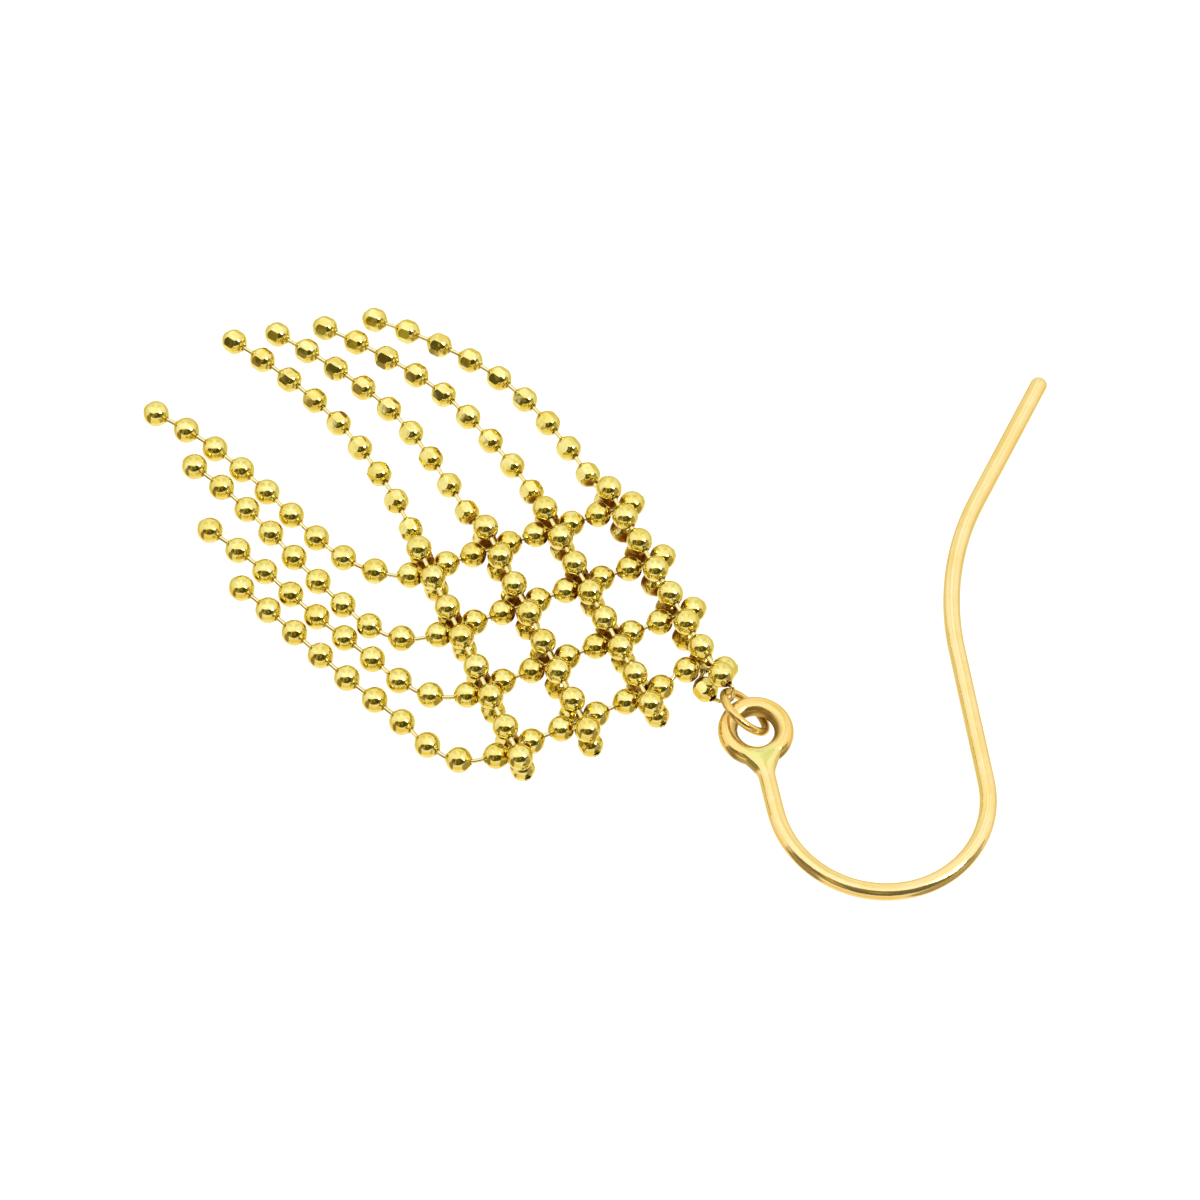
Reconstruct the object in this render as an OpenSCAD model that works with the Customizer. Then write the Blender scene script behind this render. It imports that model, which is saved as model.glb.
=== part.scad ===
// Fringe earring: a woven mesh of ball chain on a hooked ear wire, lying on a table.
// Lengths are in millimetres and angles in degrees. +Z is up, +X runs from the fringe to the
// ear wire, and the origin is on the table under the middle of the earring.
// A heading is the way that a chain or wire runs over the table, turned from +X towards +Y.

/* [Ball chain] */
// Diameter of a smooth bead
bead_d = 1; // [0.96:0.01:1.02]
// Diameter of a faceted bead, measured over the round parts between its cuts
cut_bead_d = 0.98; // [0.94:0.01:1]
// Distance across a faceted bead between two opposite flats
across_flats = 0.86; // [0.8:0.01:0.9]
// Number of flats round a faceted bead
flats = 8; // [6:1:10]
// Diameter of the thread that the beads are strung on
thread_d = 0.17; // [0.12:0.01:0.2]
// Diameter of the hole drilled through each bead
hole_d = 0.36; // [0.32:0.02:0.4]

/* [Mesh panel] */
// Number of chains each way
chains = 4; // [2:1:4]
// Where the first crossing lies on the table, across and up the photo
first_crossing = [-6.425, 0.844]; // [-6.6:0.001:1]
// Step to the next chain of the base and top layers
across_step = [2.41, 0.885]; // [0.87:0.005:2.43]
// Step to the next cross chain
down_step = [1.115, -2.605]; // [-2.62:0.005:1.13]
// Extra step that narrows the panel's right-hand side
narrowing = [0.014, 0.087]; // [0:0.001:0.09]
// Height from one layer of chain to the next
layer_rise = 0.54; // [0.54:0.01:0.6]
// Distance between the two beads of a top or base chain at a crossing
pair_down = 1.41; // [1.36:0.01:1.46]
// Distance between the two beads of a cross chain at a crossing
pair_across = 1.46; // [1.44:0.01:1.5]
// Distance from the last crossing to the bead that closes a cross chain
closing_bead = 0.66; // [0.64:0.01:0.8]
// Distance by which the ends of a base chain reach past the top chain
base_reach = 0.1; // [0.05:0.01:0.15]
// How far the jump ring pulls the last top bead off its place, across and up the photo
top_pull = [0.12, 0.065]; // [0:0.005:0.15]
// The same for the cross chain's bead before its closing bead
cross_pull = [-0.136, 0.216]; // [-0.14:0.001:0.22]
// The same for the cross chain's closing bead, and how far it sinks between the base beads
closing_pull = [0.053, -0.21]; // [-0.22:0.001:0.06]
closing_sink = 0.23; // [0.2:0.01:0.24]
// The same for the base chain's bead before its last
base_pull = [0.077, 0.091]; // [0:0.001:0.1]

/* [Fringe] */
// Number of beads in each loose strand
strand_beads = 9; // [6:1:9]
// Distance from bead to bead along a smooth strand
smooth_pitch = 1.43; // [1.41:0.01:1.45]
// Distance from bead to bead along a faceted strand
cut_pitch = 1.415; // [1.4:0.005:1.44]

/* [Ear wire] */
// Diameter of the ear wire
wire_d = 0.66; // [0.6:0.02:0.7]
// Where the free tip of the ear wire lies
tip_at = [17.525, 9.914]; // [9.8:0.001:17.7]
// Heading of the wire as it leaves the tip
tip_heading = -116; // [-118:1:-114]
// Length of the straight end that goes through the ear, with its rounded tip
straight_end = 6.33; // [6:0.01:7]
// Radius of the gentle bend behind the ear
back_bend_r = 10.9; // [10:0.1:12]
// Angle of the gentle bend
back_bend_angle = 35.3; // [34:0.1:37]
// Length of the straight between the gentle bend and the bow
riser = 5.8; // [5.5:0.1:6]
// Radius of the bow that hangs in front of the ear
bow_r = 4.05; // [4:0.05:4.2]
// Angle of the bow
bow_angle = 177.7; // [177:0.1:178.5]
// Length of the stem from the bow to the middle of the eye
stem = 3.52; // [3.5:0.01:3.6]
// Radius of the eye to the middle of its rim
eye_r = 1.07; // [1:0.01:1.1]
// Thickness of the eye's rim
eye_rim_d = 0.74; // [0.68:0.01:0.76]
// Thickness of the flared web between the stem and the eye
web_thick = 0.52; // [0.4:0.02:0.56]
// Length of the web in front of the middle of the eye's rim
web_length = 0.85; // [0.7:0.05:1]
// Width of the web where it meets the eye
web_width = 1.9; // [1.6:0.05:2]
// Tilt of the ear wire, whose eye rests on the jump ring
wire_tilt = 2.9; // [2.8:0.05:3]
// Heading of the line on which the tilted wire touches the table, through its tip
hinge_heading = -98; // [-99:0.5:-97]

/* [Jump ring] */
// Radius of the jump ring to the middle of its wire
ring_r = 1.03; // [1:0.01:1.06]
// Diameter of the jump ring's wire
ring_wire_d = 0.33; // [0.3:0.01:0.34]
// Centre of the jump ring
ring_at = [5.645, -5.366, 0.97]; // [-5.4:0.001:5.7]
// Heading of the ring's level line, from the mesh to the ear wire
ring_heading = -50; // [-55:1:-45]
// Angle that the ring leans back from upright
ring_lean = 40.5; // [38:0.5:43]
// Angle by which the ring dips towards the ear wire
ring_dip = 7.7; // [6:0.1:9]
// Way of the tie round the ring's wire: first point, from the ring's middle towards the ear wire,
// up the ring and out of its plane
tie_over = [-0.93, 0.28, -0.38]; // [-1:0.01:0.3]
// Second point of the tie, inside the ring
tie_inside = [-0.7, 0.1, 0]; // [-0.8:0.01:0.2]
// Third point of the tie, back under the ring's wire
tie_under = [-0.97, 0, 0.44]; // [-1.1:0.01:1]

/* [Hidden] */

GOLD = [0.83, 0.68, 0.27];
WARM_GOLD = [0.9, 0.68, 0.36];
ROUND = 48;
THREAD_SIDES = 6;
last = chains - 1;

// Each straight stretch of ear wire stops this far short of its ends, inside a short soldered
// joint that is this long and this much wider than the wire
joint_gap = 0.02;
joint_length = 0.12;
joint_swell = 0.01;

// How far past the middle of an end bead its thread runs, and where the ring's tie starts
thread_end = 0.15;
tie_end = 0.25;

// Heights of the three layers: the base chains lie on the table
base_z = cut_bead_d / 2;
cross_z = base_z + layer_rise;
top_z = cross_z + layer_rise;
table_z = bead_d / 2;

// Sideways sway of each chain from its straight line: [at its first crossing, at its last]
TOP_SWAY = [[-0.08, -0.04], [0.08, 0.04], [-0.05, -0.05], [0.02, 0.05]];
BASE_SWAY = [[0.06, 0], [0.05, -0.05], [0.06, 0.08], [-0.05, -0.06]];
CROSS_SWAY = [[0, -0.06], [0, 0], [0, 0], [0, -0.06]];

// How far the last bead of each base chain lies off its place, across and up the photo
BASE_ENDS = [[0, 0.2], [0.154, 0.09], [0.08, 0.14], [-0.403, 0.158]];

// Headings of the loose strands, a row for each strand, at the links numbered in LINKS
LINKS = [0, 1.5, 3.5, 5.5, 8];
CUT_HEADINGS = [
    [109, 117, 125, 135, 143],
    [119, 120, 125, 140, 147],
    [115, 126, 130, 144, 152],
    [120, 123, 132, 148, 157]];
SMOOTH_HEADINGS = [
    [167, 141, 132, 136, 148],
    [181, 138, 132, 130, 139],
    [175, 135, 141, 134, 141],
    [182, 131, 140, 135, 137]];

// Heights of the first beads of a smooth strand as it comes down from the panel
COMING_DOWN = [0.8, 0.6];

function unit(v) = v / norm(v);
function flat_dir(a) = [cos(a), sin(a), 0];
function on_table(p, z) = [p[0], p[1], z];
function sway(row, share) = row[0] + (row[1] - row[0]) * share;

// Crossing of base chain i with cross chain j, and the ways that the chains run there
function crossing(i, j) = first_crossing + i * across_step + j * down_step + i * j * narrowing;
function across_dir(j) = unit(across_step + j * narrowing);
function down_dir(i) = unit(down_step + i * narrowing);

// The jump ring's pull on a bead of the last crossing, and none on any other bead
function pulled(i, j, pull) = i == last && j == last ? pull : [0, 0];

// Beads of a top chain: a pair at each crossing
function top_beads(i) = [
    for (j = [0 : last], side = [-1, 1])
        on_table(crossing(i, j) + side * pair_down / 2 * down_dir(i)
            + sway(TOP_SWAY[i], j / last) * across_dir(j)
            + pulled(i, j, side == 1 ? top_pull : [0, 0]), top_z)];

// Beads of a base chain inside the panel: its ends reach past the top chain,
// and its last bead lies off its place
function base_panel(i) = [
    for (j = [0 : last], side = [-1, 1])
        let (share = (4 * j + side + 1) / (4 * last + 2) * 2 - 1,
             end = j == last && side == 1 ? BASE_ENDS[i] : [0, 0])
        on_table(crossing(i, j) + (side * pair_down / 2 + share * base_reach) * down_dir(i)
            + sway(BASE_SWAY[i], j / last) * across_dir(j)
            + pulled(i, j, side == -1 ? base_pull : [0, 0]) + end, base_z)];

// Beads of a cross chain inside the panel: its last bead sits closer, and closes the chain
function cross_panel(j) = [
    for (i = [0 : last], side = [-1, 1])
        let (reach = i == last && side == 1 ? closing_bead : pair_across / 2,
             sink = i == last && j == last && side == 1 ? closing_sink : 0)
        on_table(crossing(i, j) + side * reach * across_dir(j)
            + sway(CROSS_SWAY[j], i / last) * down_dir(i)
            + pulled(i, j, side == -1 ? cross_pull : closing_pull), cross_z - sink)];

// Beads of a loose strand, from the panel to its tip: each link starts at the bead before
function next_bead(p, heading, pitch, z) =
    let (level = sqrt(pow(pitch, 2) - pow(z - p[2], 2)))
    on_table([p[0], p[1]] + level * [cos(heading), sin(heading)], z);
function strand(p, headings, pitch, heights, k = 0) =
    k == strand_beads ? [] :
    let (turns = [for (n = [0 : len(LINKS) - 1]) [LINKS[n], headings[n]]],
         q = next_bead(p, lookup(k, turns), pitch, heights[k]))
    concat([q], strand(q, headings, pitch, heights, k + 1));
function reversed(list) = [for (k = [len(list) - 1 : -1 : 0]) list[k]];

// A whole chain runs from the tip of its loose strand to the far end of the panel
function base_beads(i) =
    let (panel = base_panel(i), heights = [for (k = [1 : strand_beads]) base_z])
    concat(reversed(strand(panel[0], CUT_HEADINGS[i], cut_pitch, heights)), panel);
function cross_beads(j) =
    let (panel = cross_panel(j),
         heights = [for (k = [0 : strand_beads - 1])
             k < len(COMING_DOWN) ? COMING_DOWN[k] : table_z])
    concat(reversed(strand(panel[0], SMOOTH_HEADINGS[j], smooth_pitch, heights)), panel);

// Direction of a line of points at point k, from its neighbours
function run_dir(pts, k) = unit(pts[min(k + 1, len(pts) - 1)] - pts[max(k - 1, 0)]);

// Turns its children's Z axis along a direction, and their Y axis level
module point_along(dir) {
    rotate([0, acos(dir[2]), atan2(dir[1], dir[0])]) children();
}

module ball() {
    difference() {
        sphere(d = bead_d, $fn = ROUND);
        cylinder(d = hole_d, h = 2 * bead_d, center = true, $fn = ROUND / 2);
    }
}

// A bead with flat cuts round its hole, one of which faces up when the chain lies level
module cut_ball(turn) {
    corner_r = across_flats / 2 / cos(180 / flats);
    difference() {
        intersection() {
            sphere(d = cut_bead_d, $fn = ROUND);
            rotate([0, 0, 180 / flats + turn])
                cylinder(r = corner_r, h = 2 * cut_bead_d, center = true, $fn = flats);
        }
        cylinder(d = hole_d, h = 2 * cut_bead_d, center = true, $fn = ROUND / 2);
    }
}

module smooth_chain(pts) {
    color(GOLD)
    for (k = [0 : len(pts) - 1])
        translate(pts[k]) point_along(run_dir(pts, k)) ball();
}

// The cuts of each bead are turned a little from its neighbours'
module cut_chain(pts) {
    turn_amount = 6;
    turn_step = 137;
    color(GOLD)
    for (k = [0 : len(pts) - 1])
        translate(pts[k]) point_along(run_dir(pts, k)) cut_ball(turn_amount * sin(turn_step * k));
}

// A wire of few sides through a list of points: a ring of corners at each point
module thread(pts) {
    sides = THREAD_SIDES;
    count = len(pts);
    corners = [
        for (k = [0 : count - 1])
            let (dir = run_dir(pts, k),
                 level = unit(cross([0, 0, 1], dir)),
                 rise = cross(dir, level))
            for (s = [0 : sides - 1])
                pts[k] + thread_d / 2 * (cos(360 * s / sides) * level + sin(360 * s / sides) * rise)];
    walls = [
        for (k = [0 : count - 2], s = [0 : sides - 1])
            let (a = k * sides + s, b = k * sides + (s + 1) % sides)
            each [[a, b + sides, b], [a, a + sides, b + sides]]];
    first_end = [for (s = [0 : sides - 1]) s];
    last_end = [for (s = [sides - 1 : -1 : 0]) (count - 1) * sides + s];
    color(GOLD) polyhedron(concat(corners), concat(walls, [first_end], [last_end]));
}

// Thread of a chain: straight through each bead along its hole, from inside the first bead
// to inside the last
module chain_thread(pts) {
    end = len(pts) - 1;
    thread([
        for (k = [0 : end], side = [-1, 1])
            let (inside = k == (side < 0 ? 0 : end), reach = inside ? thread_end : bead_d / 2)
            pts[k] + side * reach * run_dir(pts, k)]);
}

// Point given in the jump ring's own axes: along its level line, up the ring, out of its plane
function turned(v, heading) = [
    v[0] * cos(heading) - v[1] * sin(heading), v[0] * sin(heading) + v[1] * cos(heading), v[2]];
function ring_point(p) =
    let (level = turned([cos(ring_dip), 0, -sin(ring_dip)], ring_heading),
         lean = turned([sin(ring_dip) * cos(ring_lean), -sin(ring_lean),
             cos(ring_dip) * cos(ring_lean)], ring_heading))
    ring_at + p[0] * level + p[1] * lean + p[2] * cross(level, lean);

// Short loop of thread that ties the last top bead to the last base bead round the jump ring
module ring_tie() {
    end = 2 * last + 1;
    top = top_beads(last);
    base = base_panel(last);
    top_dir = run_dir(top, end);
    base_dir = run_dir(base, end);
    thread([
        top[end] + tie_end * top_dir,
        top[end] + bead_d / 2 * top_dir,
        ring_point(tie_over),
        ring_point(tie_inside),
        ring_point(tie_under),
        base[end] + bead_d / 2 * base_dir,
        base[end] + tie_end * base_dir]);
}

module jump_ring() {
    color(WARM_GOLD)
    translate(ring_at)
    rotate([0, 0, ring_heading])
    rotate([0, ring_dip, 0])
    rotate([90 + ring_lean, 0, 0])
    rotate_extrude($fn = 2 * ROUND)
        translate([ring_r, 0]) circle(d = ring_wire_d, $fn = ROUND / 2);
}

// A soldered joint between two stretches of ear wire
module joint() {
    rotate([0, 90, 0])
        cylinder(r = wire_d / 2 + joint_swell, h = joint_length, center = true, $fn = ROUND);
}

// A straight length of wire from the origin along +X, with what follows it at its far end
module straight_wire(length) {
    translate([joint_gap, 0, 0])
        rotate([0, 90, 0]) cylinder(d = wire_d, h = length - 2 * joint_gap, $fn = ROUND);
    translate([length, 0, 0]) {
        joint();
        children();
    }
}

// A bend of wire from the origin: turn is 1 to the left and -1 to the right
module wire_bend(radius, angle, turn) {
    translate([0, turn * radius, 0])
    rotate([0, 0, turn > 0 ? -90 : 90 - angle])
    rotate_extrude(angle = angle, $fn = 2 * ROUND)
        translate([radius, 0]) circle(d = wire_d, $fn = ROUND);
    translate([0, turn * radius, 0])
    rotate([0, 0, turn * angle])
    translate([0, -turn * radius, 0]) {
        joint();
        children();
    }
}

// The stem and the eye at its end: a soldered ring, and the flared web that joins it on.
// The web's corners sink into the wire at one end and into the rim at the other.
module stem_and_eye() {
    root_width = 0.4;
    sunk = 0.26;
    web_start = stem - eye_r - web_length;
    web_end = stem - eye_r + sunk;
    translate([joint_gap, 0, 0])
        rotate([0, 90, 0]) cylinder(d = wire_d, h = stem - eye_r - joint_gap, $fn = ROUND);
    translate([stem, 0, 0])
    rotate_extrude($fn = 2 * ROUND)
        translate([eye_r, 0]) circle(d = eye_rim_d, $fn = ROUND);
    translate([0, 0, -web_thick / 2])
    linear_extrude(height = web_thick)
    difference() {
        polygon([
            [web_start, -root_width / 2], [web_start, root_width / 2],
            [web_end, web_width / 2], [web_end, -web_width / 2]]);
        translate([stem, 0]) circle(r = eye_r, $fn = 2 * ROUND);
    }
}

// The ear wire, drawn flat from its tip and then tilted about the line that touches the table
module ear_wire() {
    tip_r = wire_d / 2;
    color(WARM_GOLD)
    translate([tip_at[0], tip_at[1], wire_d / 2])
    rotate(a = -wire_tilt, v = flat_dir(hinge_heading))
    rotate([0, 0, tip_heading])
    translate([tip_r, 0, 0]) {
        translate([joint_gap, 0, 0]) sphere(r = tip_r - joint_swell, $fn = ROUND);
        straight_wire(straight_end - tip_r)
        wire_bend(back_bend_r, back_bend_angle, 1)
        straight_wire(riser)
        wire_bend(bow_r, bow_angle, -1)
        stem_and_eye();
    }
}

ear_wire();
jump_ring();
ring_tie();
for (n = [1 : chains]) {
    smooth_chain(top_beads(n - 1));
    smooth_chain(cross_beads(n - 1));
    cut_chain(base_beads(n - 1));
    chain_thread(top_beads(n - 1));
    chain_thread(cross_beads(n - 1));
    chain_thread(base_beads(n - 1));
}
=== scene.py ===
import math

import bpy
import numpy as np
from mathutils import Matrix


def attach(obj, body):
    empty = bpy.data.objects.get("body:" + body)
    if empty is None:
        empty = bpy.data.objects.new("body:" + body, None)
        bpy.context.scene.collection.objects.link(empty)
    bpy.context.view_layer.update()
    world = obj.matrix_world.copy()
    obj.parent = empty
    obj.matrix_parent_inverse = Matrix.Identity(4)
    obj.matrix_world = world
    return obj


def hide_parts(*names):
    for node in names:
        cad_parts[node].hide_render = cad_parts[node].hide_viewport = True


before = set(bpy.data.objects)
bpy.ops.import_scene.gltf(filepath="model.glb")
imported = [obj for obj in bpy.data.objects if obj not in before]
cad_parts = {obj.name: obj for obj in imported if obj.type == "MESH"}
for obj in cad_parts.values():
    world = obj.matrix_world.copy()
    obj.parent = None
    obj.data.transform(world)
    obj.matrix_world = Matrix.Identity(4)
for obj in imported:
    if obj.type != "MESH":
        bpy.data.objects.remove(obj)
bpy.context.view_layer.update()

# The fringe earring, dressed for its picture. Sizes are in millimetres and angles in degrees until
# a surface goes into Blender, which takes metres.
MM = 0.001

# Ball chain
BEAD_R = 0.5
CUT_BEAD_R = 0.49
ACROSS_FLATS = 0.86
FLATS = 8
FLAT_CROWN = 0.006
CUT_TURN = 6
CUT_TURN_STEP = 137
HOLE_R = 0.125
LIP_R = 0.035
LIP_SPREAD = 2.6
LINK_R = 0.083
LINK_IN = 0.3
LINK_SIDES = 10

# Ear wire
WIRE_R = 0.33
TIP_AT = (17.525, 9.914, 0.33)
TIP_HEADING = -116
WIRE_TILT = 2.9
HINGE_HEADING = -98
STRAIGHT_END = 6.33
BACK_BEND_R = 10.9
BACK_BEND = 35.3
RISER = 5.8
BOW_R = 4.05
BOW = 177.7
STEM = 3.52
EYE_R = 1.07
EYE_RIM_R = 0.37
WEB_REACH = 0.95
WEB_HALF = 0.95
WEB_SQUARENESS = 2.2
DRAWN_DEPTH = 0.012
DRAWN_FLATS = 5
LINE_STEP = 0.02
BEND_BLEND = 0.8

# Jump ring and the tie round it
RING_R = 1.03
RING_WIRE_R = 0.165
RING_AT = (5.645, -5.366, 0.97)
RING_HEADING = -50
RING_LEAN = 40.5
RING_DIP = 7.7
TIE_ROUND_RING = ((-0.93, 0.28, -0.38), (-0.7, 0.1, 0), (-0.97, 0, 0.44))
KNOT_HEADING = -54
KNOT_TURN = 24

# Painted shade, painted reflection, wear, heat and pressing: how strong each is, and how far it
# reaches from a bead's mouth, the ring, the eye or the web
# Cap on the painted shade between the beads
MOST_CREVICE_SHADE = 1.5
# Painted shade in the mouths of the beads that the tie leaves
MOUTH_SHADE = 1.6
MOUTH_REACH = 0.13
MOUTH_FADE = 0.1
RING_WEAR = 0.3
# Painted shade on the eye by the jump ring, reaching further on the hole's wall
RING_SHADE = 0.85
RING_SHADE_REACH = 0.36
WALL_SHADE_REACH = 1.1
# Painted shade in the eye's hole
EYE_HOLE_SHADE = 0.66
# A painted dark reflection on the web's flanks, and how far it reaches along the web and the stem
WEB_FLANK_REFLECTION = 0.66
WEB_REFLECTION_REACH = 1.5
STEM_REFLECTION_REACH = 0.85
EYE_FIRED = 0.8
FIRED_REACH = 2.1
PRESSED_REACH = 0.95
MARK_FADE = 0.6

# Camera: the photo's view, 60 degrees above the table
VIEW_ELEVATION = 60
VIEW_CENTRE = (0.165, 0.084, 0)
VIEW_DISTANCE = 213.7
VIEW_WIDTH = 1200 / 26
SENSOR = 36

CHAINS = range(1, 5)

# The tent's tones, and its shapes: middle swing and height, half widths, droop of the ends, lean
# to the left with height and softness of the edge. A tone's last number is how far it hides what
# is behind it.
ROOM_ROOF = (1.26, 1.29, 1.6, 1)
ROOM_SIDE = (1.02, 0.99, 1.08, 1)
NEAR_BOARD = (1.02, 0.82, 0.4, 1)
FAR_BOARD = (0.8, 0.76, 0.46, 1)
DEEP_BOARD = (1.12, 1.1, 1.2, 1)
DARK_OPENING = (0.09, 0.072, 0.011, 1)
LIT_OPENING = (0.37, 0.3, 0.06, 1)
OPENING = (3, 40, 80, 26.5, 12, 0, 0.14)
IN_OPENING = (
    ((-38, 44, 6, 22, 0, 0.75, 0.6), (0.63, 0.52, 0.13, 0.75)),
    ((30, 34, 22, 12, 4, 0, 0.5), (0.045, 0.036, 0.004, 0.9)))
SHADES = (
    ((165, 40, 45, 11, 0, 0, 0.5), (0.92, 0.88, 0.76, 0.5)),
    ((-148, 36, 13, 32, 0, 0, 0.8), (0.84, 0.79, 0.48, 0.6)),
    ((154, 44, 13, 34, 0, 0, 0.8), (0.8, 0.8, 0.46, 0.6)),
    ((-60, -14, 17, 42, 0, 0, 0.4), (0.24, 0.16, 0.06, 0.9)),
    ((55, -25, 32, 40, 0, 0, 0.22), (0.34, 0.26, 0.12, 0.9)),
    ((82, 12, 11, 13, 0, 0, 0.6), (0.2, 0.17, 0.08, 0.8)))


def unit(v):
    """Vectors divided by their lengths, along the last axis."""
    v = np.asarray(v, float)
    return v / np.linalg.norm(v, axis=-1, keepdims=True)


def flat_dir(heading):
    """A level direction, turned from +X towards +Y."""
    a = math.radians(heading)
    return np.array([math.cos(a), math.sin(a), 0])


def turn_about(axis, angle):
    """The matrix of a turn about an axis: cos I + sin K + (1 - cos) times the axis' own product."""
    axis = unit(axis)
    a = math.radians(angle)
    x, y, z = axis
    crossing = np.array([[0, -z, y], [z, 0, -x], [-y, x, 0]])
    return math.cos(a) * np.eye(3) + math.sin(a) * crossing + (1 - math.cos(a)) * np.outer(axis, axis)


def smoothstep(t):
    """0 to 1 with level ends: t squared times (3 - 2t)."""
    t = np.clip(t, 0, 1)
    return t * t * (3 - 2 * t)


# Reading the frame

def solids_of(node):
    """Middle of each loose solid of a CAD node, in mm: corners at one place are one, the lowest
    label passes along the edges until nothing changes, and a solid's middle is its box's."""
    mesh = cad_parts[node].data
    points = np.empty(len(mesh.vertices) * 3, np.float32)
    mesh.vertices.foreach_get("co", points)
    points = points.reshape(-1, 3) / MM
    edges = np.empty(len(mesh.edges) * 2, np.int32)
    mesh.edges.foreach_get("vertices", edges)
    _, place = np.unique(points.round(4), axis=0, return_inverse=True)
    a, b = place.ravel()[edges.reshape(-1, 2)].T
    label = np.arange(place.max() + 1)
    while True:
        lowest = np.minimum(label[a], label[b])
        new = label.copy()
        np.minimum.at(new, a, lowest)
        np.minimum.at(new, b, lowest)
        new = new[new]
        if np.array_equal(new, label):
            break
        label = new
    own = label[place.ravel()]
    return np.array([
        (points[own == k].min(0) + points[own == k].max(0)) / 2 for k in np.unique(own)])


def chain_beads(node, along):
    """Beads of a chain in stringing order, from its tip, with the way that the chain runs at each."""
    middles = solids_of(node)
    middles = middles[np.argsort(middles @ np.array(along))]
    ahead = np.vstack([middles[1:], middles[-1:]])
    behind = np.vstack([middles[:1], middles[:-1]])
    return middles, unit(ahead - behind)


DOWN_PHOTO = (0, -1, 0)
ACROSS_PHOTO = (1, 0, 0)
LAYERS = (("top", DOWN_PHOTO), ("cross", ACROSS_PHOTO), ("base", DOWN_PHOTO))
CHAIN_BEADS = {
    f"{layer}_chain_{n}": chain_beads(f"{layer}_chain_{n}", along)
    for n in CHAINS for layer, along in LAYERS}
# The last base bead turns its hole to the jump ring
CHAIN_BEADS["base_chain_4"][1][-1] = flat_dir(KNOT_HEADING)
TIE_MOUTHS = np.array([
    CHAIN_BEADS[name][0][-1] + radius * CHAIN_BEADS[name][1][-1]
    for name, radius in (("top_chain_4", BEAD_R), ("base_chain_4", CUT_BEAD_R))])
ALL_BEADS = np.vstack([middles for middles, _ in CHAIN_BEADS.values()])


# Surfaces

def grid_faces(rows, columns, rows_close=False):
    """Quads of a grid whose columns close on themselves, and its rows too where they are told to."""
    r = np.arange(rows if rows_close else rows - 1)[:, None]
    c = np.arange(columns)[None]
    r2 = (r + 1) % rows
    c2 = (c + 1) % columns
    quads = np.stack(np.broadcast_arrays(
        r * columns + c, r * columns + c2, r2 * columns + c2, r2 * columns + c), -1)
    return quads.reshape(-1, 4)


def join(parts):
    """One list of points and faces from several, with the face numbers moved on."""
    points = []
    faces = []
    count = 0
    for p, f in parts:
        points.append(p)
        faces += [[i + count for i in face] for face in f]
        count += len(p)
    return np.vstack(points), faces


def crevice_shade_of(points, normals, own_r):
    """Painted shade between the beads: how far each point is shut in, the sum over the beads round it of
    the cosine towards the bead times (bead radius / distance) squared, with the point's own bead left out."""
    total = np.zeros(len(points))
    for middle in ALL_BEADS:
        away = middle - points
        far = np.linalg.norm(away, axis=1)
        facing = np.clip((away * normals).sum(1) / np.maximum(far, 1e-6), 0, 1)
        near = np.clip(BEAD_R / np.maximum(far, BEAD_R), 0, 1) ** 2
        total += facing * near * (far > own_r * 1.05)
    return np.clip(total, 0, MOST_CREVICE_SHADE)


def make_piece(name, node, material, points, faces, sharp=None, added_shade_and_wear=0, pressed=0, fired=0):
    """A closed mesh from points in mm, riding on the earring in place of its CAD node. Its points
    carry painted shade (how far they are shut in between beads, with added painted shade, painted reflection
    and wear), pressed and fired."""
    mesh = bpy.data.meshes.new(name)
    mesh.from_pydata((points * MM).tolist(), [], faces)
    mesh.update()
    mesh.polygons.foreach_set("use_smooth", np.ones(len(mesh.polygons), bool))
    if sharp is not None:
        mesh.set_sharp_from_angle(angle=math.radians(sharp))
    normals = np.empty(len(mesh.vertices) * 3, np.float32)
    mesh.vertices.foreach_get("normal", normals)
    own_r = BEAD_R if "chain" in name else 0
    # Painted shade between the beads, plus the painted shade, painted reflection and wear given to the piece
    shade_and_wear = crevice_shade_of(points, normals.reshape(-1, 3), own_r) + added_shade_and_wear
    for mark, value in (("painted_shade_and_wear", shade_and_wear), ("pressed", pressed), ("fired", fired)):
        layer = mesh.attributes.new(mark, "FLOAT", "POINT")
        layer.data.foreach_set("value", np.broadcast_to(value, len(points)).astype(np.float32))
    mesh.materials.append(material)
    piece = bpy.data.objects.new(name, mesh)
    bpy.context.scene.collection.objects.link(piece)
    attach(piece, "root")
    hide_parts(node)


def lip_profile(bead_r):
    """Half of a bead's outline by its hole, from the round outside to the hole's wall: a small
    rolled lip, as (distance along the hole, distance from it)."""
    lip_out = HOLE_R + LIP_R
    lip_up = math.sqrt(bead_r ** 2 - (lip_out + 0.6 * LIP_R) ** 2)
    a = np.radians([20, 60, 100, 140, 180])
    along = lip_up + LIP_R * np.sin(a) * 0.9
    out = lip_out + LIP_R * np.cos(a)
    return along, out


def smooth_bead(sides=28, rows=13):
    """A bead turned about its hole: a round outline from lip to lip and back through the hole.
    The grid's rows follow the outline and its columns go round the hole."""
    lip_along, lip_out = lip_profile(BEAD_R)
    edge = math.asin((HOLE_R + LIP_SPREAD * LIP_R) / BEAD_R)
    a = np.linspace(math.pi - edge, edge, rows)
    along = np.concatenate([-lip_along[::-1], BEAD_R * np.cos(a), lip_along])
    out = np.concatenate([lip_out[::-1], BEAD_R * np.sin(a), lip_out])
    round_hole = np.linspace(0, 2 * math.pi, sides, endpoint=False)
    points = np.stack([
        out[:, None] * np.cos(round_hole), out[:, None] * np.sin(round_hole),
        np.broadcast_to(along[:, None], (len(along), sides))], -1)
    return points.reshape(-1, 3), grid_faces(len(along), sides, rows_close=True)


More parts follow.
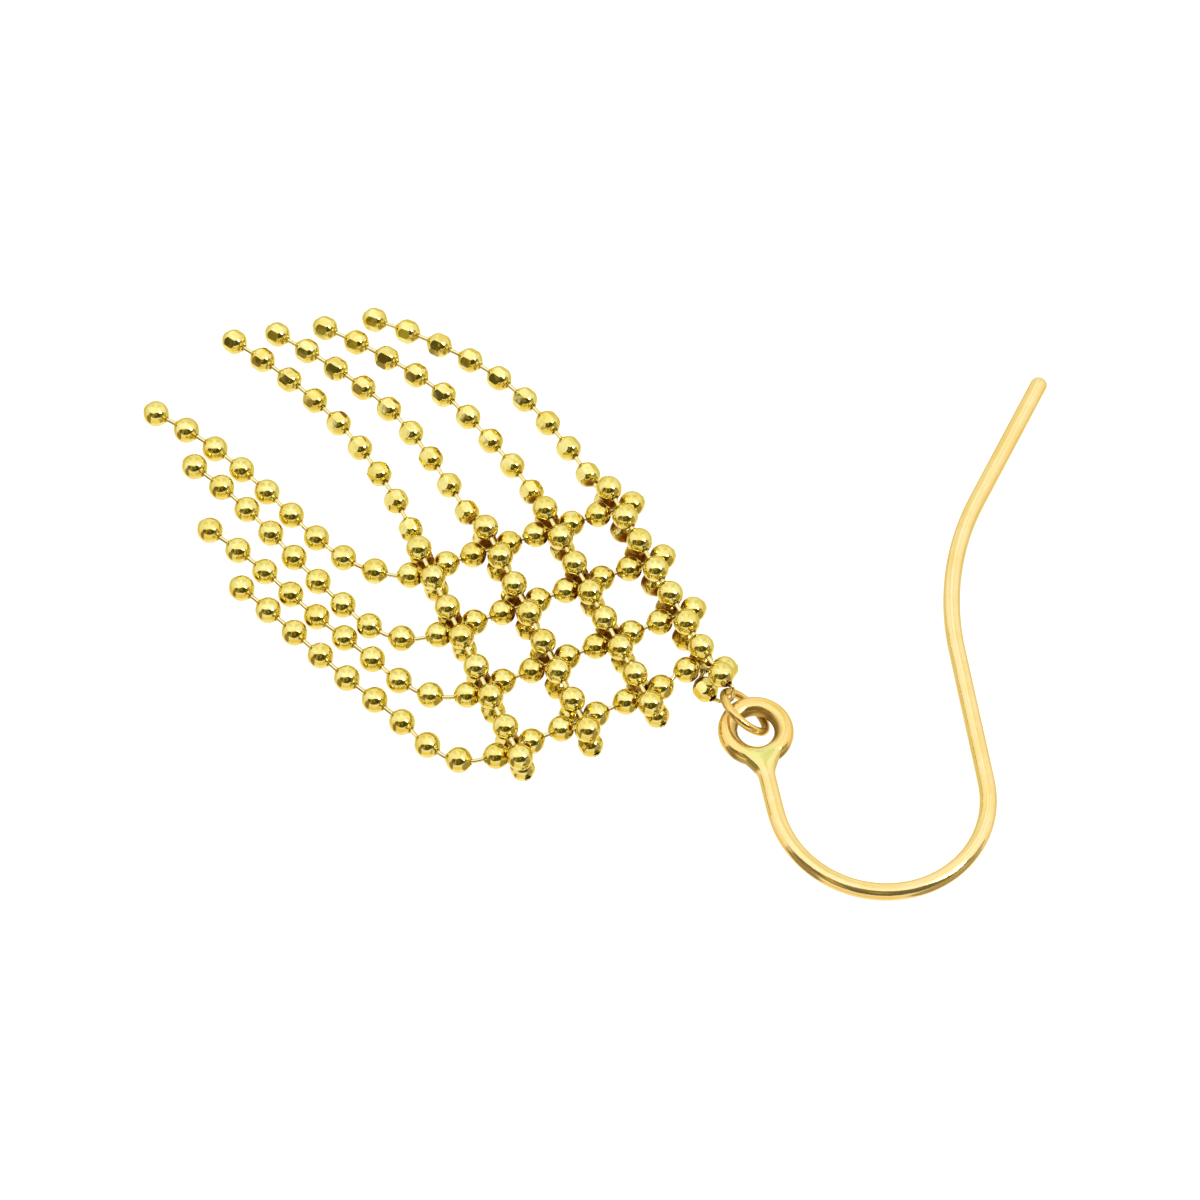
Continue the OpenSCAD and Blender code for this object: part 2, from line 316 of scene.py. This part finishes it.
def cut_bead(columns_a_flat=5, flat_rows=5, round_rows=5):
    """A round bead cut by flats round its hole: a point's distance is the smaller of the bead's
    radius and that of the flat it looks towards, which is a hair higher in its middle. The rows
    are drawn to the edge of the flats, and the columns to the edges that they share, so that
    every edge of a cut is an edge of the grid."""
    lip_along, lip_out = lip_profile(CUT_BEAD_R)
    flat_step = 2 * math.pi / FLATS
    columns = FLATS * columns_a_flat
    phi = np.arange(columns) * flat_step / columns_a_flat - flat_step / 2
    off = (phi + flat_step / 2) % flat_step - flat_step / 2
    depth = ACROSS_FLATS / 2 / CUT_BEAD_R
    flat_edge = np.arccos(depth / np.cos(off))
    hole_edge = math.pi / 2 - math.asin((HOLE_R + LIP_SPREAD * LIP_R) / CUT_BEAD_R)
    t = np.linspace(-1, 1, flat_rows)[:, None]
    u = np.linspace(0, 1, round_rows + 1)[1:, None]
    upper = flat_edge + u * (hole_edge - flat_edge)
    latitude = np.vstack([-upper[::-1], t * flat_edge, upper])
    towards = np.cos(latitude) * np.cos(off)
    off_middle = (1 - towards ** 2) / (1 - depth ** 2)
    crowned = ACROSS_FLATS / 2 + FLAT_CROWN * np.clip(1 - off_middle, 0, 1)
    reach = np.minimum(CUT_BEAD_R, crowned / towards)
    along = reach * np.sin(latitude)
    out = reach * np.cos(latitude)
    whole = np.ones(columns)
    along = np.vstack([-lip_along[::-1, None] * whole, along, lip_along[:, None] * whole])
    out = np.vstack([lip_out[::-1, None] * whole, out, lip_out[:, None] * whole])
    points = np.stack([out * np.cos(phi), out * np.sin(phi), along], -1)
    return points.reshape(-1, 3), grid_faces(len(along), columns, rows_close=True)


def string_beads(bead, middles, runs, turns):
    """One bead's points and faces set at each middle, with its hole along the chain and its own
    turn about the hole."""
    points, faces = bead
    level = unit(np.cross([0, 0, 1], runs))
    below = np.cross(level, runs)
    c, s = np.cos(np.radians(turns)), np.sin(np.radians(turns))
    x = c[:, None] * below + s[:, None] * level
    y = -s[:, None] * below + c[:, None] * level
    axes = np.stack([x, y, runs], 1)
    placed = np.einsum("pi,bij->bpj", points, axes) + middles[:, None]
    starts = np.arange(len(middles))[:, None, None] * len(points)
    return placed.reshape(-1, 3), (faces[None] + starts).reshape(-1, faces.shape[1]).tolist()


def tube(path, radius, sides):
    """A round profile carried along a path: each ring stands across the path's direction, and
    the ends are closed by a fan to their middle."""
    path = np.asarray(path, float)
    run = unit(np.gradient(path, axis=0))
    level = unit(np.cross((0, 0, 1), run))
    rise = np.cross(run, level)
    a = np.linspace(0, 2 * math.pi, sides, endpoint=False)
    radius = np.broadcast_to(radius, len(path))
    rings = path[:, None] + radius[:, None, None] * (
        np.cos(a)[None, :, None] * level[:, None] + np.sin(a)[None, :, None] * rise[:, None])
    points = np.vstack([rings.reshape(-1, 3), path[:1], path[-1:]])
    return points, grid_faces(len(path), sides).tolist() + end_fans(len(path), sides)


def end_fans(rows, sides):
    """Triangles that close both ends of a tube, whose two end middles follow its rings."""
    first = rows * sides
    top = (rows - 1) * sides
    fans = []
    for s in range(sides):
        after = (s + 1) % sides
        fans.append([first, after, s])
        fans.append([first + 1, top + s, top + after])
    return fans


def cubic(t, a, slope_a, b, slope_b):
    """The cubic in t from a at 0, with slope_a, to b at 1, with slope_b."""
    return ((2 * t ** 3 - 3 * t ** 2 + 1) * a + (t ** 3 - 2 * t ** 2 + t) * slope_a
            + (3 * t ** 2 - 2 * t ** 3) * b + (t ** 3 - t ** 2) * slope_b)


def curve_between(a, run_a, b, run_b, count):
    """A cubic from a to b that leaves along run_a and arrives along run_b."""
    pull = np.linalg.norm(b - a)
    return cubic(np.linspace(0, 1, count)[:, None], a, pull * run_a, b, pull * run_b)


def curve_through(points, steps):
    """A smooth curve through points: a cubic from each to the next, with the slope at each point
    set by its neighbours."""
    points = np.asarray(points, float)
    slope = np.gradient(points, axis=0)
    t = np.linspace(0, 1, steps, endpoint=False)[None, :, None]
    curve = cubic(t, points[:-1, None], slope[:-1, None], points[1:, None], slope[1:, None])
    return np.vstack([curve.reshape(-1, 3), points[-1:]])


def round_link_r(count):
    """Radius of a link along its length: round at the two ends, a little thicker beside a bead."""
    t = np.linspace(-1, 1, count)
    return LINK_R * np.sqrt(np.clip(1 - np.abs(t) ** 12, 0.02, 1)) * (1 + 0.12 * t ** 4)


def torus(major, minor, around, across):
    """A ring: the major circle by the minor circle."""
    u = np.linspace(0, 2 * math.pi, around, endpoint=False)[:, None]
    v = np.linspace(0, 2 * math.pi, across, endpoint=False)[None]
    out = major + minor * np.cos(v)
    points = np.stack([out * np.cos(u), out * np.sin(u), minor * np.sin(v) + 0 * u], -1)
    return points.reshape(-1, 3), grid_faces(around, across, rows_close=True)[:, ::-1].tolist()


# Gold

def mix_of(tree, kind, factor, a, b):
    """A Mix node of a kind, fed by sockets or plain values."""
    node = tree.nodes.new("ShaderNodeMix")
    node.data_type = kind
    ends = {"FLOAT": (0, 2, 3, 0), "RGBA": (0, 6, 7, 2)}[kind]
    for index, value in zip(ends[:3], (factor, a, b)):
        if isinstance(value, bpy.types.NodeSocket):
            tree.links.new(value, node.inputs[index])
        else:
            node.inputs[index].default_value = value
    return node.outputs[ends[3]]


def ranged(tree, value, low, high, to_low, to_high):
    """A value carried from one range to another, with smooth ends."""
    node = tree.nodes.new("ShaderNodeMapRange")
    node.interpolation_type = "SMOOTHSTEP"
    tree.links.new(value, node.inputs["Value"])
    for name, number in (("From Min", low), ("From Max", high), ("To Min", to_low), ("To Max", to_high)):
        node.inputs[name].default_value = number
    return node.outputs["Result"]


def noise(tree, coordinates, feature_mm, detail, roughness):
    """Soft noise whose patches are about feature_mm across."""
    node = tree.nodes.new("ShaderNodeTexNoise")
    tree.links.new(coordinates, node.inputs["Vector"])
    node.inputs["Scale"].default_value = 1 / (feature_mm * MM)
    node.inputs["Detail"].default_value = detail
    node.inputs["Roughness"].default_value = roughness
    return node.outputs["Fac"]


def mark_on(tree, name):
    """What a piece's points carry under a name."""
    node = tree.nodes.new("ShaderNodeAttribute")
    node.attribute_name = name
    return node.outputs["Fac"]


LEMON = (0.82, 0.655, 0.14)
PALE_LEMON = (0.88, 0.79, 0.27)
CREAM = (0.86, 0.75, 0.3)
PALE_CREAM = (0.88, 0.8, 0.4)
PEACH = (0.945, 0.71, 0.255)
PALE_PEACH = (0.96, 0.755, 0.325)
FIRED = (0.92, 0.64, 0.18)
PRESSED = (0.78, 0.71, 0.22)
# Deep tones of the painted shade: maroon on the beads and links, brown on the ear wire and jump ring, where
# it also carries the ring's wear
SHADE_MAROON = (0.25, 0.085, 0.006)
SHADE_AND_WEAR_BROWN = (0.42, 0.28, 0.07)
EDGE = (0.97, 0.88, 0.62)
HANDLING_MM = 0.22
GRAIN_MM = 0.32
GRAIN_HEIGHT = 0.045
SHADE_AND_WEAR_ROUGHNESS = 0.4


def gold(name, colour, pale, deep, drift_mm, polish, shade_range, grain, haze=0):
    """Polished gold. Its colour drifts between two tones in patches of about drift_mm, is redder
    where it was fired and greener where it was pressed, and goes over into the deep tone, a painted
    shade that on the jump ring also carries its wear, and grows rougher, where the painted shade mark runs
    through its given range. Handling marks move its roughness through the range polish, and a faint grain
    dents it. A haze of finest scratches scatters its share of the light."""
    material = bpy.data.materials.new(name)
    material.use_nodes = True
    tree = material.node_tree
    shader = tree.nodes["Principled BSDF"]
    place = tree.nodes.new("ShaderNodeTexCoord").outputs["Object"]
    drift = ranged(tree, noise(tree, place, drift_mm, 4, 0.75), 0.38, 0.62, 0, 1)
    tone = mix_of(tree, "RGBA", drift, (*colour, 1), (*pale, 1))
    tone = mix_of(tree, "RGBA", mark_on(tree, "fired"), tone, (*FIRED, 1))
    tone = mix_of(tree, "RGBA", mark_on(tree, "pressed"), tone, (*PRESSED, 1))
    # Painted shade: darker and rougher where the mark is high
    shade_and_wear_amount = ranged(tree, mark_on(tree, "painted_shade_and_wear"), *shade_range, 0, 1)
    tone = mix_of(tree, "RGBA", shade_and_wear_amount, tone, (*deep, 1))
    tree.links.new(tone, shader.inputs["Base Color"])
    shader.inputs["Metallic"].default_value = 1 - haze
    shader.inputs["Specular Tint"].default_value = (*EDGE, 1)
    rough = ranged(tree, noise(tree, place, HANDLING_MM, 4, 0.6), 0.3, 0.75, *polish)
    rough = mix_of(tree, "FLOAT", shade_and_wear_amount, rough, SHADE_AND_WEAR_ROUGHNESS)
    tree.links.new(rough, shader.inputs["Roughness"])
    bump = tree.nodes.new("ShaderNodeBump")
    bump.inputs["Strength"].default_value = grain
    bump.inputs["Distance"].default_value = GRAIN_HEIGHT * MM
    tree.links.new(noise(tree, place, GRAIN_MM, 1, 0.4), bump.inputs["Height"])
    tree.links.new(bump.outputs["Normal"], shader.inputs["Normal"])
    return material


# Each gold's range of the painted shade mark over which it goes into its deep tone
bead_gold = gold("lemon_gold", LEMON, PALE_LEMON, SHADE_MAROON, drift_mm=0.6, polish=(0.07, 0.14),
                 shade_range=(0.95, 1.14), grain=0.5, haze=0.02)
cut_gold = gold("cut_lemon_gold", LEMON, PALE_LEMON, SHADE_MAROON, drift_mm=0.6, polish=(0.04, 0.1),
                shade_range=(0.76, 1), grain=0.3, haze=0.03)
link_gold = gold("link_gold", CREAM, PALE_CREAM, SHADE_MAROON, drift_mm=1.6, polish=(0.12, 0.22),
                 shade_range=(0.9, 1.6), grain=0.2)
warm_gold = gold("peach_gold", PEACH, PALE_PEACH, SHADE_AND_WEAR_BROWN, drift_mm=1.6, polish=(0.07, 0.13),
                 shade_range=(0.2, 0.9), grain=0.15, haze=0.15)


# Pieces

def mouth_shade(points):
    """Painted shade in the mouths of the two beads that the tie leaves: full up to MOUTH_REACH from a
    mouth's middle, and gone MOUTH_FADE further out."""
    gap = np.linalg.norm(points[:, None] - TIE_MOUTHS[None], axis=2).min(1)
    return MOUTH_SHADE * smoothstep(1 - (gap - MOUTH_REACH) / MOUTH_FADE)


def make_chains():
    """Every chain's beads, in place of its CAD node."""
    round_bead, flat_bead = smooth_bead(), cut_bead()
    for name, (middles, runs) in CHAIN_BEADS.items():
        order = np.arange(len(middles))
        if name.startswith("base"):
            turns = CUT_TURN * np.sin(np.radians(CUT_TURN_STEP * order))
            if name == "base_chain_4":
                turns[-1] += KNOT_TURN
            points, faces = string_beads(flat_bead, middles, runs, turns)
            slot, metal, sharp = "cut_gold", cut_gold, 14
        else:
            points, faces = string_beads(round_bead, middles, runs, 0 * order)
            slot, metal, sharp = "bead_gold", bead_gold, 50
        make_piece(name + "_beads", name, metal, points, faces, sharp, mouth_shade(points))


def make_links():
    """The short wire links that join each bead to the next, in place of a chain's thread."""
    for name, (middles, runs) in CHAIN_BEADS.items():
        radius = round_link_r(9)
        starts = middles[:-1] + LINK_IN * runs[:-1]
        ends = middles[1:] - LINK_IN * runs[1:]
        links = [
            tube(curve_between(a, run_a, b, run_b, len(radius)), radius, LINK_SIDES)
            for a, run_a, b, run_b in zip(starts, runs[:-1], ends, runs[1:])]
        points, faces = join(links)
        thread = name.replace("chain", "thread")
        make_piece(thread + "_links", thread, link_gold, points, faces, sharp=50)


def ring_axes():
    """The jump ring's level line, the line up its lean and the way out of its plane."""
    level = turn_about((0, 0, 1), RING_HEADING) @ turn_about((0, 1, 0), RING_DIP)
    axes = level @ turn_about((1, 0, 0), 90 + RING_LEAN)
    return axes.T


def gap_to_ring(points):
    """Gap from each point to the jump ring's wire: the point's distance from the ring's circle,
    found from its distance to the ring's axis and its height over the ring's plane."""
    x, y, z = ((points - np.array(RING_AT)) @ ring_axes().T).T
    return np.hypot(np.hypot(x, y) - RING_R, z) - RING_WIRE_R


def make_ring_tie():
    """The link that ties the last top bead to the last base bead round the jump ring."""
    top, top_run = (v[-1] for v in CHAIN_BEADS["top_chain_4"])
    base, base_run = (v[-1] for v in CHAIN_BEADS["base_chain_4"])
    round_ring = np.array(RING_AT) + np.array(TIE_ROUND_RING) @ ring_axes()
    path = curve_through([
        top + LINK_IN * top_run, top + BEAD_R * top_run, *round_ring,
        base + BEAD_R * base_run, base + LINK_IN * base_run], steps=8)
    points, faces = tube(path, LINK_R, LINK_SIDES)
    make_piece("ring_tie_link", "ring_tie", link_gold, points, faces, 60, mouth_shade(points))


def make_jump_ring():
    """The jump ring: a torus, leaned and dipped to where it lies in the eye."""
    points, faces = torus(RING_R, RING_WIRE_R, around=96, across=20)
    points = points @ ring_axes() + np.array(RING_AT)
    make_piece("jump_ring_wire", "jump_ring", warm_gold, points, faces,
               added_shade_and_wear=RING_WEAR, fired=1)


def wire_line():
    """The ear wire's middle line in its own plane, from the tip: its heading is the running sum
    of the bends, each averaged over BEND_BLEND so that it starts and ends softly, and its place is
    the running sum of the headings. It ends where the web starts."""
    lengths = (STRAIGHT_END, BACK_BEND_R * math.radians(BACK_BEND), RISER, BOW_R * math.radians(BOW),
               STEM - EYE_R - WEB_REACH)
    bends = np.array([0, 1 / BACK_BEND_R, 0, -1 / BOW_R, 0])
    ends = np.cumsum(lengths)
    along = np.arange(0, ends[-1], LINE_STEP)
    bend = bends[np.searchsorted(ends, along, side="right").clip(0, len(bends) - 1)]
    soft = int(BEND_BLEND / LINE_STEP)
    bend = np.convolve(np.pad(bend, soft, mode="edge"), np.ones(soft) / soft, "same")[soft:-soft]
    heading = np.concatenate([[0], np.cumsum((bend[1:] + bend[:-1]) / 2 * LINE_STEP)])
    middle = (heading[1:] + heading[:-1]) / 2
    x = np.concatenate([[0], np.cumsum(np.cos(middle) * LINE_STEP)])
    y = np.concatenate([[0], np.cumsum(np.sin(middle) * LINE_STEP)])
    return along, np.stack([x, y], 1), heading


def make_ear_wire():
    """The ear wire: a round profile carried along its line from the rounded tip, which flattens
    and spreads into the web and ends on the crown of the eye's rim, and the eye, a torus."""
    sides = 28
    along, line, heading = wire_line()
    round_tip = WIRE_R * (1 - np.cos(np.radians(np.linspace(5, 90, 9))))
    after_tip = int(0.4 / LINE_STEP)
    keep = np.unique(np.concatenate([
        np.searchsorted(along, round_tip), np.arange(after_tip, len(along), 14), [len(along) - 1]]))
    s = along[keep]
    radius = WIRE_R * np.sqrt(1 - np.clip(1 - s / WIRE_R, 0, 1) ** 2)
    p = line[keep]
    ahead = np.stack([np.cos(heading[keep]), np.sin(heading[keep])], 1)
    side = np.stack([-ahead[:, 1], ahead[:, 0]], 1)
    a = np.linspace(0, 2 * math.pi, sides, endpoint=False)
    drawn = radius[:, None] * (1 + DRAWN_DEPTH * np.sin(DRAWN_FLATS * a + 0.25 * s[:, None]))
    wire = np.concatenate([
        p[:, None] + (drawn * np.cos(a))[..., None] * side[:, None],
        (drawn * np.sin(a))[..., None]], -1)

    # The web: each line along it runs from the wire's section to the crown circle of the rim
    t = np.linspace(0, 1, 18)[1:, None]
    spread = smoothstep(t)
    squareness = 2 + WEB_SQUARENESS * spread
    half = WIRE_R + (WEB_HALF - WIRE_R) * spread
    thick = WIRE_R + (EYE_RIM_R - WIRE_R) * spread
    sideways = half * np.sign(np.cos(a)) * np.abs(np.cos(a)) ** (2 / squareness)
    upwards = thick * np.sign(np.sin(a)) * np.abs(np.sin(a)) ** (2 / squareness)
    to_crown = WEB_REACH + EYE_R - np.sqrt(EYE_R ** 2 - sideways[-1:] ** 2)
    end, end_ahead, end_side = p[-1], ahead[-1], side[-1]
    web_end = end + end_ahead * WEB_REACH
    eye_middle = end + end_ahead * (WEB_REACH + EYE_R)
    web = np.concatenate([
        end + (t * to_crown)[..., None] * end_ahead + sideways[..., None] * end_side,
        upwards[..., None]], -1)
    rings = np.concatenate([wire, web])
    body = np.vstack([rings.reshape(-1, 3), np.append(line[0], 0), np.append(web_end, 0)])
    body_faces = grid_faces(len(rings), sides).tolist() + end_fans(len(rings), sides)
    eye, eye_faces = torus(EYE_R, EYE_RIM_R, around=96, across=32)
    into_hole = (EYE_R - np.hypot(eye[:, 0], eye[:, 1])) / EYE_RIM_R
    into_hole = np.concatenate([np.full(len(body), -1), into_hole])
    eye[:, :2] += eye_middle
    points, faces = join([(body, body_faces), (eye, eye_faces)])

    # Marks: pressed at the web, fired round the eye, painted shade in the hole and a painted dark reflection
    # on the web's flanks
    level = points[:, :2]
    from_web = np.linalg.norm(level - web_end, axis=1)
    from_eye = np.linalg.norm(level - eye_middle, axis=1)
    down_stem = (web_end - level) @ end_ahead
    off_crown = 1 - np.abs(points[:, 2]) / (0.85 * EYE_RIM_R)
    pressed = smoothstep((PRESSED_REACH - from_web) / MARK_FADE)
    fired = EYE_FIRED * smoothstep((FIRED_REACH - from_eye) / MARK_FADE)
    outside = smoothstep((from_eye - 1.02 * EYE_R) / 0.2)
    # The painted dark reflection on the web's flanks, outside the eye and near the web
    near_web = smoothstep((WEB_REFLECTION_REACH - from_web) / 0.5) * smoothstep((STEM_REFLECTION_REACH - down_stem) / 0.3)
    flank_reflection = WEB_FLANK_REFLECTION * outside * near_web * smoothstep(1.5 * off_crown)
    hole_shade = EYE_HOLE_SHADE * smoothstep((into_hole - 0.2) / 0.6) * (1 - pressed)

    # Painted shade by the jump ring, which reaches further on the hole's wall
    tilt = turn_about(flat_dir(HINGE_HEADING), -WIRE_TILT) @ turn_about((0, 0, 1), TIP_HEADING)
    points = points @ tilt.T + np.array(TIP_AT)
    gap = gap_to_ring(points)
    wall_shade = smoothstep(into_hole / 0.5) * (1 - pressed) * smoothstep(1 - gap / WALL_SHADE_REACH)
    shade_by_ring = RING_SHADE * np.maximum(smoothstep(1 - gap / RING_SHADE_REACH), wall_shade)
    added_shade_and_wear = np.maximum(np.maximum(hole_shade, flank_reflection), shade_by_ring)
    make_piece("ear_wire_body", "ear_wire", warm_gold, points, faces,
               added_shade_and_wear=added_shade_and_wear, pressed=pressed, fired=fired)


make_chains()
make_links()
make_ring_tie()
make_jump_ring()
make_ear_wire()


# Floor, light and camera

def make_floor():
    """A plain white table, big enough to fill every view."""
    half = 1.5
    mesh = bpy.data.meshes.new("floor")
    corners = [(-half, -half, 0), (half, -half, 0), (half, half, 0), (-half, half, 0)]
    mesh.from_pydata(corners, [], [(0, 1, 2, 3)])
    floor = bpy.data.objects.new("floor", mesh)
    bpy.context.scene.collection.objects.link(floor)
    material = bpy.data.materials.new("white_table")
    material.use_nodes = True
    tree = material.node_tree
    shader = tree.nodes["Principled BSDF"]
    direct = tree.nodes.new("ShaderNodeLightPath").outputs["Is Camera Ray"]
    shader.inputs["Base Color"].default_value = (0.3, 0.3, 0.3, 1)
    shader.inputs["Roughness"].default_value = 0.9
    shader.inputs["Specular IOR Level"].default_value = 0.1
    shader.inputs["Emission Color"].default_value = (1, 1, 1, 1)
    tree.links.new(direct, shader.inputs["Emission Strength"])
    mesh.materials.append(material)
    floor.visible_glossy = False


def sky_maths(tree, operation, a, b=None):
    """One Math node, fed by sockets or numbers."""
    node = tree.nodes.new("ShaderNodeMath")
    node.operation = operation
    for index, value in enumerate((a, b)):
        if isinstance(value, bpy.types.NodeSocket):
            tree.links.new(value, node.inputs[index])
        elif value is not None:
            node.inputs[index].default_value = value
    return node.outputs[0]


def make_tent():
    """The white tent round the table and the pale boards below it, as the gold sees them. By height
    and by swing from the front: bright overhead, duller at the level of the table, with soft
    shades round it and a dark opening in front whose ends droop. Dim things show in the opening."""
    world = bpy.data.worlds.new("tent")
    bpy.context.scene.world = world
    world.use_nodes = True
    tree = world.node_tree
    ground = tree.nodes["Background"]
    parts = tree.nodes.new("ShaderNodeSeparateXYZ")
    ways = tree.nodes.new("ShaderNodeTexCoord").outputs["Generated"]
    tree.links.new(ways, parts.inputs[0])
    x, y, z = parts.outputs
    height = sky_maths(tree, "ARCSINE", z)
    swing = sky_maths(tree, "ARCTAN2", x, sky_maths(tree, "MULTIPLY", y, -1))

    def oval(at_swing, at_height, half_swing, half_height, droop, lean, soft):
        """1 inside an oval of the tent and 0 outside, with a soft edge."""
        upright = sky_maths(tree, "ADD", swing, sky_maths(tree, "MULTIPLY", height, lean))
        middle = math.radians(at_swing + lean * at_height)
        across = sky_maths(tree, "DIVIDE", sky_maths(tree, "SUBTRACT", upright, middle),
                           math.radians(half_swing))
        square = sky_maths(tree, "MULTIPLY", across, across)
        fall = sky_maths(tree, "MULTIPLY", square, math.radians(droop))
        drooped = sky_maths(tree, "SUBTRACT", math.radians(at_height), fall)
        above = sky_maths(tree, "SUBTRACT", height, drooped)
        up = sky_maths(tree, "DIVIDE", above, math.radians(half_height))
        out = sky_maths(tree, "ADD", square, sky_maths(tree, "MULTIPLY", up, up))
        return ranged(tree, out, 1 - soft, 1 + soft, 1, 0)

    def by_height(low, high, below, above):
        """A value below one height and another above a second, with a smooth step between."""
        return ranged(tree, height, math.radians(low), math.radians(high), below, above)

    def over(seen, shapes):
        """The tones of shapes laid over what is seen, each hiding its share of it."""
        for shape, tone in shapes:
            hidden = sky_maths(tree, "MULTIPLY", oval(*shape), tone[3])
            seen = mix_of(tree, "RGBA", hidden, seen, (*tone[:3], 1))
        return seen

    roof = by_height(5, 75, 0, 1)
    seen = mix_of(tree, "RGBA", roof, ROOM_SIDE, ROOM_ROOF)
    behind = ranged(tree, y, -0.2, 0.3, 0, 1)
    board_tone = mix_of(tree, "RGBA", behind, NEAR_BOARD, FAR_BOARD)
    deep = by_height(-58, -30, 1, 0)
    board_tone = mix_of(tree, "RGBA", deep, board_tone, DEEP_BOARD)
    board = by_height(-12, 2, 1, 0)
    seen = over(mix_of(tree, "RGBA", board, seen, board_tone), SHADES)
    clutter = tree.nodes.new("ShaderNodeTexNoise")
    tree.links.new(ways, clutter.inputs["Vector"])
    clutter.inputs["Scale"].default_value = 2.2
    clutter.inputs["Detail"].default_value = 3
    lit = ranged(tree, clutter.outputs["Fac"], 0.52, 0.7, 0, 1)
    dim = over(mix_of(tree, "RGBA", lit, DARK_OPENING, LIT_OPENING), IN_OPENING)
    seen = mix_of(tree, "RGBA", oval(*OPENING), seen, dim)
    tree.links.new(seen, ground.inputs["Color"])


def make_lamp(name, swing, height, far, wide, high, watts):
    """An oval soft lamp that faces the earring: swing is from the front towards the right, height
    is above the table, both in degrees, and the distance and the sizes are in metres."""
    data = bpy.data.lights.new(name, "AREA")
    data.shape = "ELLIPSE"
    data.size = wide
    data.size_y = high
    data.energy = watts
    lamp = bpy.data.objects.new(name, data)
    a, e = math.radians(swing), math.radians(height)
    back = np.array([math.sin(a) * math.cos(e), -math.cos(a) * math.cos(e), math.sin(e)])
    lamp.matrix_world = facing_frame(back * far, back)
    bpy.context.scene.collection.objects.link(lamp)


def facing_frame(place, back):
    """Place and turn of a lamp or camera that looks against the direction back, kept upright."""
    z = unit(back)
    x = unit(np.cross((0, 0, 1), z))
    y = np.cross(z, x)
    matrix = np.eye(4)
    matrix[:3, 0], matrix[:3, 1], matrix[:3, 2], matrix[:3, 3] = x, y, z, place
    return Matrix(matrix.tolist())


def make_camera():
    """The photo's camera: level across, looking down at the middle of the picture."""
    data = bpy.data.cameras.new("camera")
    data.sensor_width = SENSOR
    data.lens = SENSOR * VIEW_DISTANCE / VIEW_WIDTH
    data.clip_start = 0.001
    camera = bpy.data.objects.new("camera", data)
    e = math.radians(VIEW_ELEVATION)
    back = np.array([0, -math.cos(e), math.sin(e)])
    place = (np.array(VIEW_CENTRE) + VIEW_DISTANCE * back) * MM
    camera.matrix_world = facing_frame(place, back)
    bpy.context.scene.collection.objects.link(camera)
    bpy.context.scene.camera = camera


make_floor()
make_tent()
make_lamp("key_lamp", swing=71, height=47.5, far=0.4, wide=0.105, high=0.2, watts=0.38)
make_camera()
bpy.context.scene.view_settings.view_transform = "Standard"
bpy.context.scene.cycles.glossy_bounces = 10
